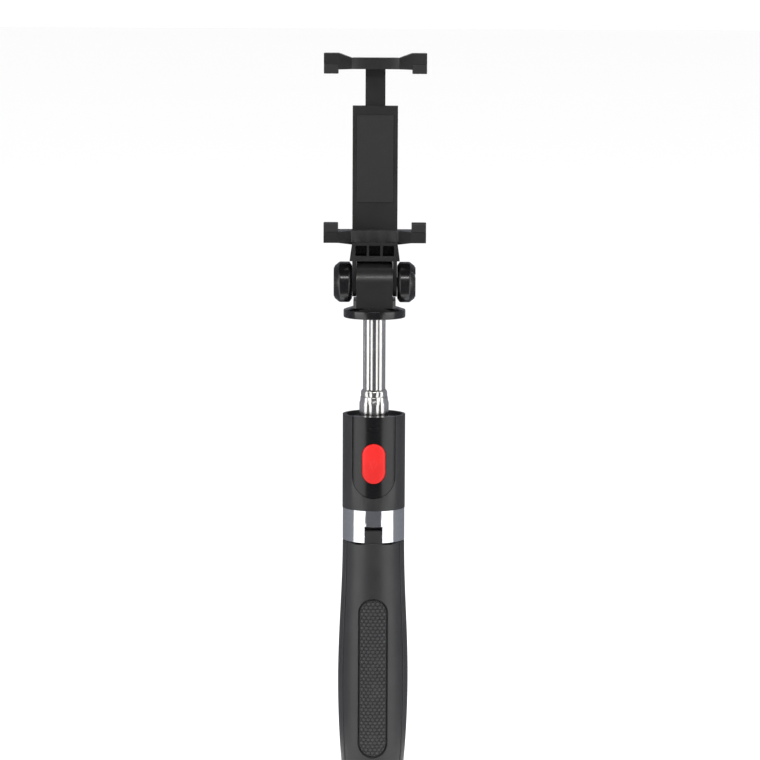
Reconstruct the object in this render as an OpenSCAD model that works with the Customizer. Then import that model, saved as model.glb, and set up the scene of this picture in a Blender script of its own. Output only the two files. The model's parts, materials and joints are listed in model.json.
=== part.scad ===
// Telescopic camera-phone stick: a tripod handle, a fluted pole, a tilt head and a sprung phone clamp.
// Millimetres, +Z up. The origin is the middle of the footprint of the three closed legs; the front is -Y.

/* [Handle] */
// Height of the whole handle, from the feet to the rim of the housing
handle_len = 180; // [165:1:200]
// Radius of the housing
housing_r = 13.95; // [13.9:0.05:14.6]
// Height of the housing above the hinge ring
housing_h = 41.9; // [41:0.1:48]
// Height of the bright hinge ring
ring_h = 14.4; // [13.6:0.1:16]
// Radius of the bright hinge ring
ring_r = 13.8; // [13.8:0.05:14.4]
// Wall of the housing
housing_wall = 1.6; // [1.2:0.1:1.8]

/* [Legs] */
// Radius of a closed leg at its thickest, low in the hand
leg_swell_r = 15.7; // [15:0.1:16.5]
// Height of the thickest place
leg_swell_z = 60; // [50:1:70]
// Wall of a leg
leg_wall = 1.8; // [1.4:0.1:2.2]
// Gap between two closed legs
leg_gap = 0.4; // [0.3:0.05:0.8]
// Height of the rubber foot
foot_h = 6; // [4:0.5:9]
// Width of the grip pad
pad_w = 12.2; // [9:0.1:13]
// Length of the grip pad
pad_len = 71; // [50:1:80]

/* [Remote] */
// Width of the remote
remote_w = 18.8; // [17.6:0.1:19]
// Length of the remote
remote_h = 36.2; // [33:0.1:38]
// Width of the shutter button
button_w = 10.4; // [8:0.1:11]
// Length of the shutter button
button_len = 17.9; // [14:0.1:18.5]

/* [Pole] */
// Radius of the thick tube
outer_tube_r = 6.55; // [6.45:0.01:6.6]
// Radius of the middle tube
middle_tube_r = 5.75; // [5.65:0.01:5.78]
// Radius of the thin tube
inner_tube_r = 5; // [4.8:0.05:5.1]
// Length of a tube
tube_len = 150; // [125:1:155]
// How far the thick tube stands out of the housing
outer_tube_out = 7.7; // [7.7:0.1:60]
// How far the middle tube stands out of the thick tube
middle_tube_out = 3.1; // [3.1:0.1:60]
// How far the thin tube shows under the pole's cap
inner_tube_out = 32.2; // [12:0.1:45]

/* [Tilt head] */
// Radius of the pole cap's flange
flange_r = 13.75; // [12.5:0.05:14]
// Diameter of the two knobs
knob_d = 18; // [15:0.5:19]
// Width of the tilt block between its ears
block_w = 16; // [14:0.1:16.2]
// Radius of the tilt block's round top
block_r = 9.4; // [8.5:0.1:9.4]

/* [Phone clamp] */
// Width of the jaws
jaw_w = 45; // [40:0.5:56]
// Opening between the jaws, as the clamp is shown
jaw_open = 70.9; // [66:0.1:76]
// Width of a jaw's finger
finger_w = 6.4; // [5:0.1:8]
// Thickness of the phone that the hooks reach round
phone_t = 11.2; // [8:0.1:11.4]

/* [Hidden] */
$fn = 64;
eps = 0.01;
run = 0.05; // radial clearance of a running fit

lower_jaw_t = 6.1; // thickness of the lower jaw's plate

// Levels, from the feet upwards
housing_top = handle_len;
ring_top = housing_top - housing_h;
ring_bottom = ring_top - ring_h;
leg_top = ring_bottom - 0.3;
pin_z = ring_bottom + 2.5;
notch_top = ring_bottom + 7.3;
pad_top = leg_top - 25.3;
outer_tube_top = housing_top + outer_tube_out;
middle_tube_top = outer_tube_top + middle_tube_out;
flange_z = middle_tube_top + inner_tube_out;
block_z = flange_z + 4.8;
tilt_z = block_z + 11;
neck_z = tilt_z + block_r + 0.3;
jaw_z = tilt_z + 16.9;
rest_z = jaw_z + lower_jaw_t;
grip_z = rest_z + jaw_open;

// Housing and hinges of the legs
cap_below = 3;
bed_back_y = -6; // back of the solid bed that carries the remote
cap_t = 1.6;
hub_neck_h = 4;
leg_angles = [0, 120, 240];
pin_at = 11.6;
pin_r = 0.8;
pin_len = 10.8;
tongue_w = 7.6;
tongue_r = 3.2;
tongue_gap = 0.05;
pocket_r = 3.55;
shoulder_r = 3.5;
notch_w = 7.9;
ring_wall = 0.85;
hub_r = ring_r - ring_wall;

// Pole
sleeve_in_r = outer_tube_r + 0.25;
sleeve_out_r = 7.3;
sleeve_bottom = ring_bottom; // ends inside the hub, so that open legs stand clear of it
tube_wall = 0.45;
thin_wall = 0.4;
flute_count = 8;
flute_r = 1.4;
flute_depth = 0.28;
bush_h = 8;
collar_h = 8;
collar_below = 1.4;
crimp_h = 5;
crimp_gap = 0.18;
outer_cone_top = 1.1;
outer_cone_h = 1.5;
outer_rim = 0.5;
lip_h = 3.1;
lip_rise = 0.125;
lip_edge = 0.8;
cap_socket = 3;
inner_tube_z = flange_z + cap_socket - tube_len;

// Legs
leg_bore_r = 7.9;
liner_r = 9.1;
leg_side_wall = 1.2;
leg_cap_h = 3.4;
pad_sink = 0.8;
pad_rise = 0.3;
pad_groove = 0.5;
leg_steps = 28;
leg_taper = 0.00113;
foot_edge = 1;

// Remote
remote_y = -7.9;
remote_wall = 1.2;
remote_gap = 0.2;
remote_rail_x = 10;
remote_rail_y = [-8.7, -7.9];
remote_z = housing_top - remote_h;
button_z = housing_top - 20.75;
button_gap = 0.12;
board_y = -10.1;
board_t = 0.8;
switch_t = 0.5;
plunger_t = 0.2;
button_back_y = -12.1;
button_skirt_t = 0.4;
button_rise = 0.55;
light_x = -6.6;
light_r = 0.4;
light_z = button_z + 0.15;
board_w = 13;
board_h = 28;
board_z = remote_z + 17.5;
cell_d = 12.5;
cell_t = 1.6;
cell_z = remote_z + 11;
switch_half = 2.2;
plunger_r = 1;
button_flange = 0.7;

// Tilt head
bolt_r = 2;
ear_t = 1.8;
ear_r = 6.5;
ear_foot = 7;
washer_t = 0.1;
ear_x = block_w / 2 + washer_t;
knob_x = ear_x + ear_t + 0.1;
knob_len = 8.1;
knob_foot = 1.6;
knob_foot_h = 1.2;
knob_shoulder = 2;
knob_shoulder_h = 2.6;
dish_in = 3.2;
dish_depth = 1.6;
dish_boss_r = 3;
dish_boss_h = 1.1;
thumb_angles = [-60, 60, 180];
thumb_w = 1.8;
thumb_depth = 1.2;
bolt_end = knob_x + knob_len - 2.5;
nut_x = knob_x + 1;
nut_af_r = 3.4;
nut_h = 3;
cap_rim_h = 3.8;
cap_edge = 0.5;
cap_cone_h = 2;
cap_cone_r = 10;
block_base_w = 18.7;

// Phone clamp
upper_jaw_t = 4.9;
lower_arm_h = 4.7;
upper_arm_h = 4.6;
lower_crease = -0.1;
upper_crease = -2.4;
lower_reach = 4.2;
upper_reach = 1.8;
jaw_corner = 1.5;
tip_edge = 0.5;
tip_shell = 1.6;
hook_t = 3.8;
pad_t = 1.2;
phone_back_y = 2.5;
hook_in_y = phone_back_y - phone_t;
hook_out_y = hook_in_y - hook_t;
jaw_back_y = 6;
plate_half = 10.4;
flank_half = jaw_w / 2 - finger_w;
plate_front_y = -4.5;
hollow_depth = 1.8;
hollow_r = plate_half * plate_half / (2 * hollow_depth) + hollow_depth / 2;
channel_w = 20;
channel_front_y = 3;
channel_wall = 1.4;
channel_back_y = 9.5;
cover_t = 1.2;
cover_ledge = 0.7;
cover_low_z = rest_z - 3;
channel_top = rest_z + 54.6;
channel_roof = 1.8;
cover_high_z = channel_top - 1;
tongue_y = [4.7, 7.9];
slide_tongue_w = 8.8;
slide_tongue_z = rest_z + 17.2;
wing_z = rest_z + 35.2;
wing_h = 3;
wing_half = 8.2;
back_pad_half = 8;
back_pad_z = [rest_z + 12, channel_top - 4];
spring_x = 6.3;
spring_r = 1.45;
spring_wire_r = 0.3;
spring_turns = 12;
coil_sides = 6;
coil_step = 30;
spring_foot_z = rest_z + 2.4;
spring_gap = 0.2;
screw_x = 5;
screw_z = rest_z - 1;
screw_len = 5;
screw_r = 1.1;
screw_head_r = 1.9;
screw_head_h = 0.6;
neck_w_top = 19.9;
neck_w_foot = 22.2;
neck_y = [-7, 7.5];
window_w = 5;
window_pitch = 6;
window_y = [-8, 4];
window_z = [rest_z - 11, rest_z - 6.4];

// ---- shared shapes ----

// Outer radius of a closed leg at height z: a smooth swell that meets the ring above and narrows below.
function leg_r(z) =
    z > leg_swell_z
        ? ring_r + (leg_swell_r - ring_r) * (0.5 + 0.5 * cos(180 * (z - leg_swell_z) / (leg_top - leg_swell_z)))
        : leg_swell_r - leg_taper * pow(leg_swell_z - z, 2);

// A band that follows the leg's outer curve from z0 to z1, between two offsets from it.
module leg_band(z0, z1, low, high) {
    levels = [for (i = [0:leg_steps]) z0 + (z1 - z0) * i / leg_steps];
    rotate_extrude()
        polygon(concat(
            [for (z = levels) [leg_r(z) + high, z]],
            [for (i = [leg_steps:-1:0]) [leg_r(levels[i]) + low, levels[i]]]));
}

// A solid of revolution from radius r to the leg's outer curve plus an offset.
module leg_turn(z0, z1, r, high) {
    levels = [for (i = [0:leg_steps]) z0 + (z1 - z0) * i / leg_steps];
    rotate_extrude()
        polygon(concat([[r, z0]], [for (z = levels) [leg_r(z) + high, z]], [[r, z1]]));
}

// The third of the plane that the front leg fills, held back from both seams.
module third(back) {
    reach = 40;
    tip = back / sin(60);
    translate([0, -tip])
        polygon([[0, 0], [reach * sin(60), -reach * cos(60)], [reach * sin(60), -reach],
            [-reach * sin(60), -reach], [-reach * sin(60), -reach * cos(60)]]);
}

module third_wedge(back) {
    linear_extrude(height = handle_len) third(back);
}

// A ring between two radii.
module tube(r_out, r_in, z0, z1) {
    rotate_extrude()
        translate([r_in, z0]) square([r_out - r_in, z1 - z0]);
}

// A rod along X, centred on x = 0.
module rod_x(r, length) {
    rotate([0, 90, 0]) cylinder(r = r, h = length, center = true);
}

// An upright slot outline with round ends, standing in the XZ plane and extruded towards -Y.
module slot_front(w, length, z_mid, y_from, depth) {
    translate([0, y_from, z_mid])
        rotate([90, 0, 0])
            linear_extrude(height = depth)
                union() {
                    square([w, length - w], center = true);
                    translate([0, (length - w) / 2]) circle(d = w);
                    translate([0, -(length - w) / 2]) circle(d = w);
                }
}

// A box given by two corners.
module block(low, high) {
    translate(low) cube([high[0] - low[0], high[1] - low[1], high[2] - low[2]]);
}

// A profile in the YZ plane, extruded along X.
module side_extrude(x0, x1) {
    translate([x0, 0, 0])
        rotate([90, 0, 90])
            linear_extrude(height = x1 - x0) children();
}

// ---- handle ----

// U-shaped prism behind which the remote slides.
module remote_prism(grow, y_from, depth) {
    r = remote_w / 2 + grow;
    translate([0, y_from, 0])
        rotate([90, 0, 0])
            linear_extrude(height = depth)
                union() {
                    translate([0, remote_z + remote_w / 2]) circle(r = r);
                    translate([-r, remote_z + remote_w / 2]) square([2 * r, remote_h - remote_w / 2]);
                }
}

module remote_rails(grow) {
    block([-remote_rail_x - grow, remote_rail_y[0] - grow, remote_z + remote_w / 2 + 1 - grow],
        [remote_rail_x + grow, remote_rail_y[1] + grow, housing_top]);
}

module housing_shell() {
    inner_r = housing_r - housing_wall;
    color([0.1, 0.1, 0.105])
        difference() {
            union() {
                tube(housing_r, inner_r, ring_top, housing_top);
                intersection() {
                    translate([0, 0, ring_top]) cylinder(r = housing_r - 0.5, h = housing_h - cap_below);
                    block([-inner_r, -housing_r, ring_top + hub_neck_h],
                        [inner_r, bed_back_y, housing_top - cap_below]);
                }
            }
            remote_prism(remote_gap, remote_y + remote_gap, housing_r);
            remote_rails(remote_gap);
            translate([0, 0, ring_top - 1]) cylinder(r = sleeve_out_r, h = housing_h + 2);
        }
}

module housing_cap() {
    floor_z = housing_top - cap_below;
    color([0.07, 0.07, 0.075])
        difference() {
            translate([0, 0, floor_z]) cylinder(r = housing_r - housing_wall, h = cap_t);
            translate([0, 0, floor_z - 1]) cylinder(r = sleeve_out_r, h = 4);
            block([-housing_r, -housing_r, floor_z - 1], [housing_r, remote_y + remote_gap, floor_z + 3]);
        }
}

module hinge_ring() {
    color([0.85, 0.86, 0.88])
        difference() {
            tube(ring_r, hub_r, ring_bottom, ring_top);
            for (a = leg_angles)
                rotate([0, 0, a]) {
                    block([-notch_w / 2, -2 * ring_r, ring_bottom - 1], [notch_w / 2, 0, notch_top]);
                    translate([0, -pin_at, pin_z]) rod_x(pin_r, pin_len);
                }
        }
}

// The room that one leg's tongue needs when it turns about its pin.
module tongue_room() {
    half = notch_w / 2 + tongue_gap;
    translate([0, -pin_at, pin_z]) rod_x(pocket_r, 2 * half);
    block([-half, -2 * ring_r, ring_bottom - 1], [half, -pin_at, notch_top]);
    block([-half, -2 * ring_r, ring_bottom - 1], [half, -pin_at + pocket_r, pin_z]);
}

module hinge_hub() {
    neck_r = housing_r - housing_wall;
    color([0.08, 0.08, 0.085])
        difference() {
            union() {
                translate([0, 0, ring_bottom]) cylinder(r = hub_r, h = ring_h);
                translate([0, 0, ring_top]) cylinder(r = neck_r, h = hub_neck_h);
            }
            translate([0, 0, ring_bottom - 1]) cylinder(r = sleeve_out_r, h = ring_h + 10);
            for (a = leg_angles)
                rotate([0, 0, a]) {
                    tongue_room();
                    translate([0, -pin_at, pin_z]) rod_x(pin_r, pin_len);
                }
        }
}

module leg_pins() {
    color([0.7, 0.71, 0.73])
        for (a = leg_angles)
            rotate([0, 0, a])
                translate([0, -pin_at, pin_z]) rod_x(pin_r, pin_len);
}

module pole_sleeve() {
    color([0.6, 0.61, 0.63])
        tube(sleeve_out_r, sleeve_in_r, sleeve_bottom, housing_top - collar_below);
}

module sleeve_collar() {
    collar_top = housing_top - collar_below;
    color([0.85, 0.85, 0.82])
        tube(sleeve_in_r, outer_tube_r + run, collar_top - collar_h, collar_top);
}

// ---- legs ----

module pad_outline(grow, y_from) {
    slot_front(pad_w + 2 * grow, pad_len + 2 * grow, pad_top - pad_len / 2, y_from, 12);
}

module leg_tongue() {
    intersection() {
        union() {
            translate([0, -pin_at, pin_z]) rod_x(tongue_r, tongue_w);
            block([-tongue_w / 2, -ring_r, leg_top - 1], [tongue_w / 2, -pin_at + 2.4, pin_z]);
        }
        translate([0, 0, leg_top - 1]) cylinder(r = ring_r - 0.2, h = 12);
    }
}

module leg_shell() {
    cavity_z = foot_h + leg_cap_h;
    cavity_top = leg_top - leg_cap_h;
    difference() {
        union() {
            difference() {
                intersection() {
                    leg_turn(foot_h, leg_top, leg_bore_r, 0);
                    third_wedge(leg_gap / 2);
                }
                intersection() {
                    leg_turn(cavity_z, cavity_top, 1, -leg_wall);
                    third_wedge(leg_gap / 2 + leg_side_wall);
                }
                tube(liner_r, 1, cavity_z, cavity_top);
                translate([0, -pin_at, pin_z]) rod_x(shoulder_r, 4 * ring_r);
            }
            leg_tongue();
        }
        translate([0, -pin_at, pin_z]) rod_x(pin_r + run, 2 * tongue_w);
        intersection() {
            leg_band(foot_h, leg_top, -pad_sink, 3);
            pad_outline(pad_groove, -leg_bore_r);
        }
    }
}

module leg_liner() {
    intersection() {
        tube(liner_r, leg_bore_r, foot_h + leg_cap_h, leg_top - leg_cap_h);
        third_wedge(leg_gap / 2);
    }
}

module leg_pad() {
    intersection() {
        leg_band(foot_h + 1, leg_top - 1, -pad_sink, pad_rise);
        pad_outline(0, -leg_bore_r);
    }
}

module leg_foot() {
    intersection() {
        rotate_extrude()
            polygon([[leg_bore_r, 0], [leg_r(0) - foot_edge, 0], [leg_r(foot_edge), foot_edge],
                [leg_r(foot_h / 2), foot_h / 2], [leg_r(foot_h), foot_h], [leg_bore_r, foot_h]]);
        third_wedge(leg_gap / 2);
    }
}

module at_leg(i, shade) {
    color(shade) rotate([0, 0, leg_angles[i]]) children();
}

leg_shade = [0.13, 0.13, 0.135];
dark_shade = [0.06, 0.06, 0.065];

// ---- remote ----

module remote_cover() {
    color([0.05, 0.05, 0.055])
        difference() {
            union() {
                intersection() {
                    remote_prism(0, remote_y, housing_r);
                    translate([0, 0, remote_z]) cylinder(r = housing_r, h = remote_h);
                }
                remote_rails(0);
            }
            intersection() {
                remote_prism(-remote_wall, remote_y + 1, housing_r);
                translate([0, 0, remote_z]) cylinder(r = housing_r - remote_wall, h = remote_h - remote_wall);
            }
            slot_front(button_w + 2 * button_gap, button_len + 2 * button_gap, button_z, remote_y, 10);
            translate([light_x, remote_y - 1, light_z]) rotate([90, 0, 0]) cylinder(r = light_r, h = 8);
        }
}

module remote_back() {
    color([0.05, 0.05, 0.055])
        intersection() {
            remote_prism(-remote_wall, remote_y, 0.6);
            block([-housing_r, -housing_r, remote_z], [housing_r, 0, housing_top - remote_wall]);
        }
}

module circuit_board() {
    color([0.05, 0.25, 0.12])
        slot_front(board_w, board_h, board_z, board_y, board_t);
}

module battery_cell() {
    color([0.75, 0.76, 0.78])
        translate([0, board_y + cell_t, cell_z])
            rotate([90, 0, 0]) cylinder(d = cell_d, h = cell_t);
}

module tact_switch() {
    body_y = board_y - board_t;
    color([0.7, 0.7, 0.72])
        union() {
            block([-switch_half, body_y - switch_t, button_z - switch_half],
                [switch_half, body_y, button_z + switch_half]);
            translate([0, body_y - switch_t, button_z])
                rotate([90, 0, 0]) cylinder(r = plunger_r, h = plunger_t);
        }
}

module light_guide() {
    color([0.8, 0.85, 0.9])
        intersection() {
            translate([light_x, board_y - board_t, light_z])
                rotate([90, 0, 0]) cylinder(r = light_r, h = 4);
            cylinder(r = housing_r - 0.1, h = 2 * handle_len);
        }
}

// The oval button and, behind the cover, the two end flanges that keep it in.
module shutter_button() {
    color([0.85, 0.08, 0.07])
        union() {
            intersection() {
                slot_front(button_w, button_len, button_z, button_back_y - button_skirt_t, 4);
                cylinder(r = housing_r + button_rise, h = 2 * handle_len);
            }
            intersection() {
                slot_front(button_w, button_len + 2 * button_flange, button_z, button_back_y, button_skirt_t);
                cylinder(r = housing_r - remote_wall - 0.1, h = 2 * handle_len);
            }
        }
}

// ---- pole ----

// Grooves that run along a tube, one between each two lobes.
module flutes(r, z0, z1) {
    for (i = [0:flute_count - 1])
        rotate([0, 0, (i + 0.5) * 360 / flute_count])
            translate([r + flute_r - flute_depth, 0, z0]) cylinder(r = flute_r, h = z1 - z0);
}

module outer_tube() {
    bottom = outer_tube_top - tube_len;
    bore_r = outer_tube_r - tube_wall;
    rim_r = middle_tube_r + outer_rim;
    crimp_r = middle_tube_r + crimp_gap;
    cone_top = outer_tube_top - outer_cone_top;
    color([0.75, 0.76, 0.78])
        difference() {
            rotate_extrude()
                polygon([[bore_r, bottom], [outer_tube_r, bottom], [outer_tube_r, cone_top - outer_cone_h],
                    [rim_r, cone_top], [rim_r, outer_tube_top], [crimp_r, outer_tube_top],
                    [crimp_r, outer_tube_top - crimp_h], [bore_r, outer_tube_top - crimp_h - outer_rim]]);
            flutes(outer_tube_r, bottom + bush_h, cone_top - outer_cone_h - 0.4);
        }
}

module outer_bush() {
    bottom = outer_tube_top - tube_len;
    color([0.85, 0.85, 0.82])
        tube(sleeve_in_r - run, outer_tube_r, bottom, bottom + bush_h);
}

module middle_tube() {
    bottom = middle_tube_top - tube_len;
    lip_r = middle_tube_r + lip_rise;
    bore_r = middle_tube_r - tube_wall;
    throat_r = inner_tube_r + run;
    color([0.75, 0.76, 0.78])
        difference() {
            rotate_extrude()
                polygon([[bore_r, bottom], [middle_tube_r, bottom], [middle_tube_r, middle_tube_top - lip_h],
                    [lip_r, middle_tube_top - lip_h + 0.2], [lip_r, middle_tube_top - lip_edge],
                    [throat_r + 0.35, middle_tube_top], [throat_r, middle_tube_top],
                    [throat_r, middle_tube_top - crimp_h], [bore_r, middle_tube_top - crimp_h - 0.3]]);
            flutes(middle_tube_r, bottom + bush_h, middle_tube_top - lip_h);
        }
}

module middle_bush() {
    bottom = middle_tube_top - tube_len;
    color([0.85, 0.85, 0.82])
        tube(outer_tube_r - tube_wall - run, middle_tube_r, bottom, bottom + bush_h);
}

module inner_tube() {
    color([0.78, 0.79, 0.81])
        difference() {
            tube(inner_tube_r, inner_tube_r - thin_wall, inner_tube_z, flange_z + cap_socket);
            flutes(inner_tube_r, inner_tube_z + bush_h, flange_z);
        }
}

module inner_bush() {
    color([0.85, 0.85, 0.82])
        tube(middle_tube_r - tube_wall - run, inner_tube_r, inner_tube_z, inner_tube_z + bush_h);
}

// ---- tilt head ----

module pole_cap() {
    cap_top = cap_rim_h + cap_cone_h;
    color([0.07, 0.07, 0.075])
        difference() {
            translate([0, 0, flange_z])
                rotate_extrude()
                    polygon([[0, 0], [flange_r - cap_edge, 0], [flange_r, cap_edge],
                        [flange_r, cap_rim_h - cap_edge], [flange_r - cap_edge, cap_rim_h],
                        [cap_cone_r, cap_top], [0, cap_top]]);
            translate([0, 0, flange_z - 1]) cylinder(r = inner_tube_r, h = cap_socket + 1);
            block([-block_base_w / 2, -block_r, block_z], [block_base_w / 2, block_r, block_z + 5]);
        }
}

module tilt_block() {
    cut_w = 1.3;
    cut_d = 0.7;
    base_x = block_base_w / 2;
    low_h = tilt_z - ear_r - 1 - block_z;
    color([0.09, 0.09, 0.095])
        difference() {
            union() {
                translate([0, 0, block_z])
                    linear_extrude(height = low_h)
                        polygon([
                            [-base_x, block_r - cut_d], [-base_x, cut_d - block_r],
                            [cut_w - base_x, -block_r], [base_x - cut_w, -block_r],
                            [base_x, cut_d - block_r], [base_x, block_r - cut_d],
                            [base_x - cut_w, block_r], [cut_w - base_x, block_r]]);
                block([-block_w / 2, -block_r, block_z], [block_w / 2, block_r, tilt_z]);
                translate([0, 0, tilt_z]) rod_x(block_r, block_w);
            }
            translate([0, 0, tilt_z]) rod_x(bolt_r + run, 2 * block_w);
        }
}

module tilt_bolt() {
    color([0.7, 0.71, 0.73])
        translate([0, 0, tilt_z]) rod_x(bolt_r, 2 * bolt_end);
}

module friction_washers() {
    color([0.6, 0.45, 0.2])
        for (side = [-1, 1])
            translate([side * (block_w / 2 + washer_t / 2), 0, tilt_z])
                rotate([0, 90, 0])
                    difference() {
                        cylinder(r = ear_r - 0.6, h = washer_t - 0.02, center = true);
                        cylinder(r = bolt_r, h = 2, center = true);
                    }
}

// A knob's turned body about +X, from x = 0 outwards, before its face is shaped.
module knob_body() {
    r = knob_d / 2;
    rotate([0, 90, 0])
        rotate_extrude()
            polygon([[0, 0], [r - knob_foot, 0], [r, knob_foot_h], [r, knob_len - knob_shoulder_h],
                [r - knob_shoulder, knob_len - 0.2], [r - knob_shoulder - 0.6, knob_len], [0, knob_len]]);
}

module left_knob() {
    color([0.05, 0.05, 0.055])
        difference() {
            translate([-knob_x, 0, tilt_z]) mirror([1, 0, 0]) knob_body();
            translate([0, 0, tilt_z]) rod_x(bolt_r, 2 * bolt_end);
        }
}

module right_knob() {
    dish_r = knob_d / 2 - dish_in;
    color([0.05, 0.05, 0.055])
        difference() {
            translate([knob_x, 0, tilt_z]) knob_body();
            translate([knob_x - 1, 0, tilt_z]) rotate([0, 90, 0]) cylinder(r = bolt_r + run, h = 2 + knob_len);
            translate([nut_x, 0, tilt_z]) rotate([0, 90, 0]) cylinder(r = nut_af_r, h = nut_h, $fn = 6);
            translate([knob_x + knob_len - dish_depth, 0, tilt_z])
                rotate([0, 90, 0])
                    difference() {
                        cylinder(r = dish_r, h = 2 * dish_depth);
                        translate([0, 0, -1]) cylinder(r = dish_boss_r, h = 1 + dish_boss_h);
                    }
            for (a = thumb_angles)
                translate([knob_x + knob_len - thumb_depth, 0, tilt_z])
                    rotate([a, 0, 0])
                        block([0, -thumb_w / 2, dish_r - 0.5], [2 * thumb_depth, thumb_w / 2, knob_d]);
        }
}

module knob_nut() {
    color([0.75, 0.6, 0.3])
        translate([nut_x, 0, tilt_z])
            rotate([0, 90, 0])
                difference() {
                    cylinder(r = nut_af_r, h = nut_h, $fn = 6);
                    translate([0, 0, -1]) cylinder(r = bolt_r + run, h = nut_h + 2);
                }
}

// ---- phone clamp ----

// Plan outline of a jaw: two arms with a hollow plate between them.
module jaw_plan() {
    half = jaw_w / 2;
    difference() {
        polygon([[-half, hook_out_y], [-flank_half, hook_out_y], [-plate_half, plate_front_y],
            [plate_half, plate_front_y], [flank_half, hook_out_y], [half, hook_out_y],
            [half, jaw_back_y - jaw_corner], [half - jaw_corner, jaw_back_y],
            [jaw_corner - half, jaw_back_y], [-half, jaw_back_y - jaw_corner]]);
        intersection() {
            translate([0, plate_front_y + hollow_depth - hollow_r]) circle(r = hollow_r);
            square([2 * plate_half, 60], center = true);
        }
    }
}

// One hook tip, in the YZ plane, for a jaw whose grip face is at height 0 and whose crease is below it.
module tip_profile(crease, reach) {
    pad_back_y = channel_front_y - 0.1;
    polygon([[hook_out_y, crease], [hook_out_y, reach - tip_edge], [hook_out_y + tip_edge, reach],
        [hook_in_y - tip_edge, reach], [hook_in_y, reach - tip_edge], [hook_in_y, 0],
        [pad_back_y, 0], [pad_back_y, -pad_t],
        [hook_out_y + tip_shell, -pad_t], [hook_out_y + tip_shell, crease]]);
}

module tip_room(crease) {
    block([-jaw_w, hook_out_y + tip_shell, -pad_t], [jaw_w, channel_front_y, 2]);
    block([-jaw_w, hook_out_y - 1, crease], [jaw_w, hook_out_y + 3, 2]);
}

// A jaw hanging below its grip face: the plan outline cut to the front outline, less the beds of its tips.
module jaw(thick, crease, arm_h) {
    arm_low = crease - arm_h;
    deep = max(thick, -arm_low);
    finger_mid = jaw_w / 2 - finger_w / 2;
    difference() {
        intersection() {
            translate([0, 0, -deep]) linear_extrude(height = deep) jaw_plan();
            rotate([90, 0, 0])
                linear_extrude(height = 60, center = true)
                    polygon([[-jaw_w / 2, arm_low], [-flank_half, arm_low], [-plate_half, -thick],
                        [plate_half, -thick], [flank_half, arm_low], [jaw_w / 2, arm_low],
                        [jaw_w / 2, 0], [-jaw_w / 2, 0]]);
        }
        for (side = [-1, 1])
            intersection() {
                tip_room(crease);
                translate([side * finger_mid, 0, 0]) cube([finger_w + eps, 60, 60], center = true);
            }
    }
}

module jaw_tip(side, crease, reach) {
    mid = side * (jaw_w / 2 - finger_w / 2);
    side_extrude(mid - finger_w / 2, mid + finger_w / 2) tip_profile(crease, reach);
}

module at_rest_face() {
    translate([0, 0, rest_z]) children();
}

module at_grip_face() {
    translate([0, 0, grip_z]) mirror([0, 0, 1]) children();
}

module lower_tip(side) {
    color(dark_shade) at_rest_face() jaw_tip(side, lower_crease, lower_reach);
}

module upper_tip(side) {
    color(dark_shade) at_grip_face() jaw_tip(side, upper_crease, upper_reach);
}

// Ears, neck with its three windows, lower jaw and the channel that guides the slider.
module clamp_frame() {
    color([0.08, 0.08, 0.085])
        difference() {
            union() {
                at_rest_face() jaw(lower_jaw_t, lower_crease, lower_arm_h);
                translate([0, neck_y[1], 0])
                    rotate([90, 0, 0])
                        linear_extrude(height = neck_y[1] - neck_y[0])
                            polygon([[-neck_w_foot / 2, neck_z], [neck_w_foot / 2, neck_z],
                                [neck_w_top / 2, jaw_z + 1], [-neck_w_top / 2, jaw_z + 1]]);
                for (side = [-1, 1])
                    translate([side * (ear_x + ear_t / 2), 0, 0]) ear();
                block([-channel_w / 2, channel_front_y, jaw_z], [channel_w / 2, channel_back_y, channel_top]);
            }
            for (i = [-1:1])
                block([i * window_pitch - window_w / 2, window_y[0], window_z[0]],
                    [i * window_pitch + window_w / 2, window_y[1], window_z[1]]);
            channel_room();
            cover_holes();
        }
}

module ear() {
    rotate([0, 90, 0])
        difference() {
            union() {
                translate([-tilt_z, 0, 0]) cylinder(r = ear_r, h = ear_t, center = true);
                translate([-neck_z - 0.5, 0, 0])
                    linear_extrude(height = ear_t, center = true)
                        polygon([[0, -ear_foot], [neck_z - tilt_z + 0.5, -ear_r],
                            [neck_z - tilt_z + 0.5, ear_r], [0, ear_foot]]);
            }
            translate([-tilt_z, 0, 0]) cylinder(r = bolt_r, h = 2 * ear_t, center = true);
        }
}

// Hollow of the channel, open at the back, with a slot in its top for the slider's tongue.
module channel_room() {
    wall_x = channel_w / 2 - channel_wall;
    block([-wall_x, channel_front_y + channel_wall, rest_z + 1],
        [wall_x, channel_back_y + 1, channel_top - channel_roof]);
    block([-slide_tongue_w / 2 - 0.2, channel_front_y + channel_wall, channel_top - 2],
        [slide_tongue_w / 2 + 0.2, tongue_y[1] + 0.25, channel_top + 1]);
    block([-wall_x - cover_ledge, channel_back_y - cover_t, cover_low_z],
        [wall_x + cover_ledge, channel_back_y + 1, cover_high_z]);
}

module cover_holes() {
    for (x = [-screw_x, screw_x])
        translate([x, channel_back_y + 1, screw_z])
            rotate([90, 0, 0]) cylinder(r = screw_r, h = screw_len + 1 - screw_head_h);
}

module rear_cover() {
    half = channel_w / 2 - channel_wall + cover_ledge;
    color([0.07, 0.07, 0.075])
        difference() {
            block([-half, channel_back_y - cover_t, cover_low_z], [half, channel_back_y, cover_high_z]);
            cover_holes();
        }
}

module cover_screws() {
    color([0.7, 0.71, 0.73])
        for (x = [-screw_x, screw_x])
            translate([x, channel_back_y + screw_head_h, screw_z])
                rotate([90, 0, 0])
                    union() {
                        cylinder(r = screw_head_r, h = screw_head_h);
                        cylinder(r = screw_r, h = screw_len);
                    }
}

module back_pad() {
    color([0.05, 0.05, 0.055])
        block([-back_pad_half, phone_back_y, back_pad_z[0]], [back_pad_half, channel_front_y, back_pad_z[1]]);
}

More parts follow.
